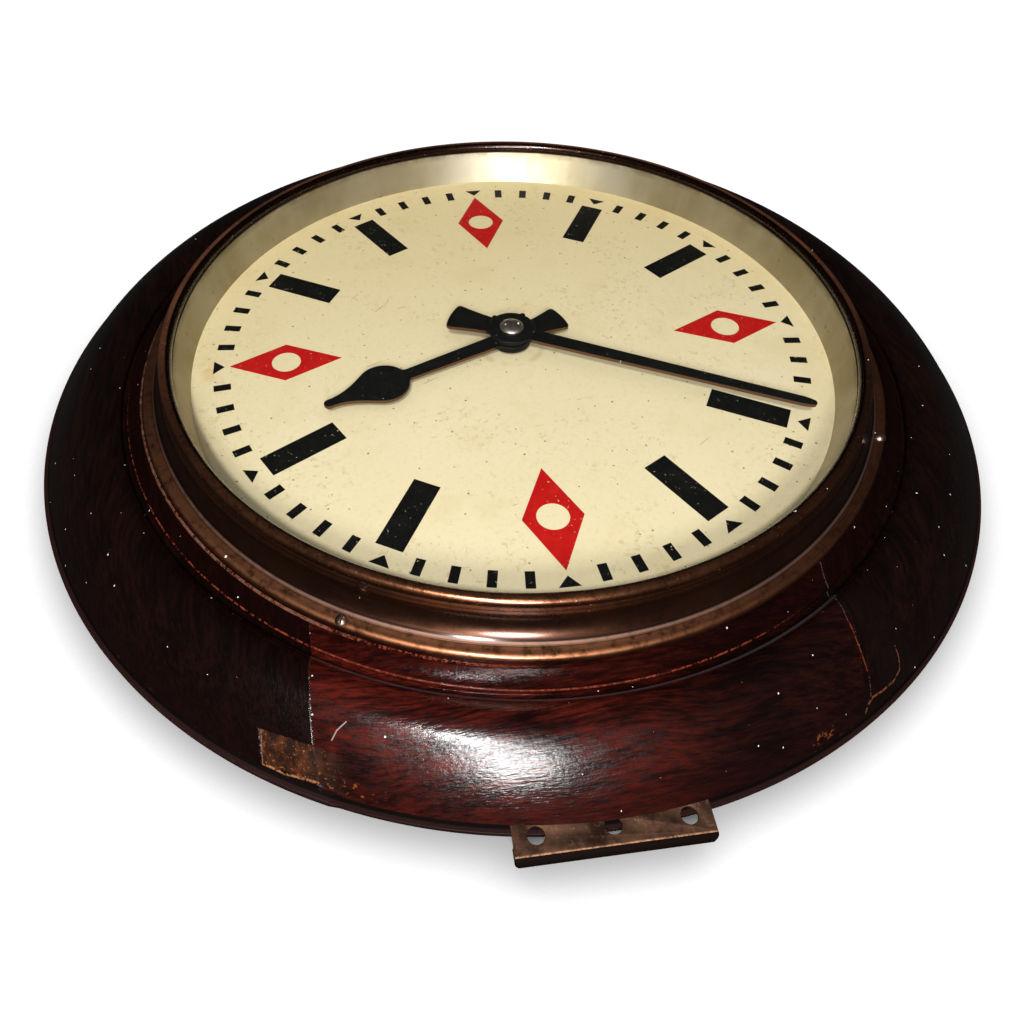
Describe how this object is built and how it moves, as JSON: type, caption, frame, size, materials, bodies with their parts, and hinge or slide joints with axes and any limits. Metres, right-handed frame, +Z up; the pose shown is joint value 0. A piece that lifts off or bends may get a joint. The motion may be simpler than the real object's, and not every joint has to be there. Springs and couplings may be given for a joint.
{
  "type": "slave clock",
  "caption": "Round slave clock for a wall: turned wooden case, brass bezel, glass, cream dial with bars and diamonds, spade and baton hands, impulse movement behind the dial.",
  "frame": {"origin": "centre of the round back, on the plane of the wall that the clock hangs on", "axes": "+X points to 3 o'clock, +Z points up to 12 o'clock, and the dial faces -Y, so +Y points into the wall"},
  "size_m": [0.4453, 0.0554, 0.4528],
  "materials": {
    "case_wood": "dark red-brown lacquer, high gloss, worn",
    "board_wood": "dark varnished board",
    "bronzed": "bronzed, copper wear on the edges",
    "bracket_bronzed": "bronzed sheet",
    "zinc_steel": "zinc plated",
    "silvered": "silvered, satin",
    "glass": "clear, polished",
    "dial_cream": "cream enamel",
    "ink_black": "printed",
    "ink_red": "printed",
    "hand_black": "black paint, semi-gloss",
    "nut_silver": "silvered, polished",
    "plate_brass": "brushed",
    "arbor_steel": "polished",
    "magnet": "ground",
    "bobbin": "moulded",
    "copper_wire": "enamelled copper wire",
    "lead_red": "insulated wire",
    "grommet": "black rubber"
  },
  "bodies": {
    "case": {"wood_surround": "case_wood", "back_board": "board_wood", "board_screws": "zinc_steel", "lower_bracket": "bracket_bronzed", "bracket_screws": "zinc_steel", "hanger_plate": "zinc_steel", "hanger_screws": "zinc_steel", "rear_cover": "bracket_bronzed", "cover_screws": "zinc_steel", "cable_grommet": "grommet", "bezel": "bronzed", "bezel_screws": "zinc_steel", "glass": "glass", "sight_ring": "silvered", "dial_plate": "dial_cream", "minute_marks": "ink_black", "hour_bars": "ink_black", "hour_diamonds": "ink_red", "front_plate": "plate_brass", "back_plate": "plate_brass", "pillars": "plate_brass", "pillar_screws": "zinc_steel", "dial_feet": "plate_brass", "dial_foot_screws": "zinc_steel", "minute_stud": "arbor_steel", "pole_pieces": "arbor_steel", "stator_yoke": "arbor_steel", "stator_posts": "plate_brass", "stator_screws": "zinc_steel", "coil_bobbins": "bobbin", "coil_windings": "copper_wire", "coil_leads": "lead_red", "terminal_block": "bobbin", "terminal_screws": "plate_brass"},
    "minute_work": {"centre_arbor": "arbor_steel", "centre_wheel": "plate_brass", "cannon_pinion": "plate_brass", "minute_hand": "hand_black", "minute_boss": "hand_black", "hand_nut": "nut_silver"},
    "rotor": {"rotor_magnet": "magnet", "rotor_arbor": "arbor_steel", "rotor_pinion": "plate_brass"},
    "transfer_wheel": {"minute_wheel": "plate_brass", "minute_pinion": "plate_brass"},
    "hour_work": {"hour_wheel": "plate_brass", "hour_boss": "hand_black", "hour_hand": "hand_black"}
  },
  "joints": [
    {"name": "minute_spin", "type": "hinge", "parent": "case", "child": "minute_work", "pos_m": [0, -0.02, 0], "axis": [0, 1, 0], "continuous": true},
    {"name": "rotor_spin", "type": "hinge", "parent": "case", "child": "rotor", "pos_m": [0, -0.02, -0.032], "axis": [0, 1, 0], "continuous": true},
    {"name": "transfer_spin", "type": "hinge", "parent": "case", "child": "transfer_wheel", "pos_m": [0.012, -0.03, 0], "axis": [0, 1, 0], "continuous": true},
    {"name": "hour_spin", "type": "hinge", "parent": "case", "child": "hour_work", "pos_m": [0, -0.036, 0], "axis": [0, 1, 0], "continuous": true}
  ],
  "couplings": [
    {"joint": "rotor_spin", "follows": "minute_spin", "ratio": -15},
    {"joint": "transfer_spin", "follows": "minute_spin", "ratio": -0.33333},
    {"joint": "hour_spin", "follows": "minute_spin", "ratio": 0.083333}
  ]
}
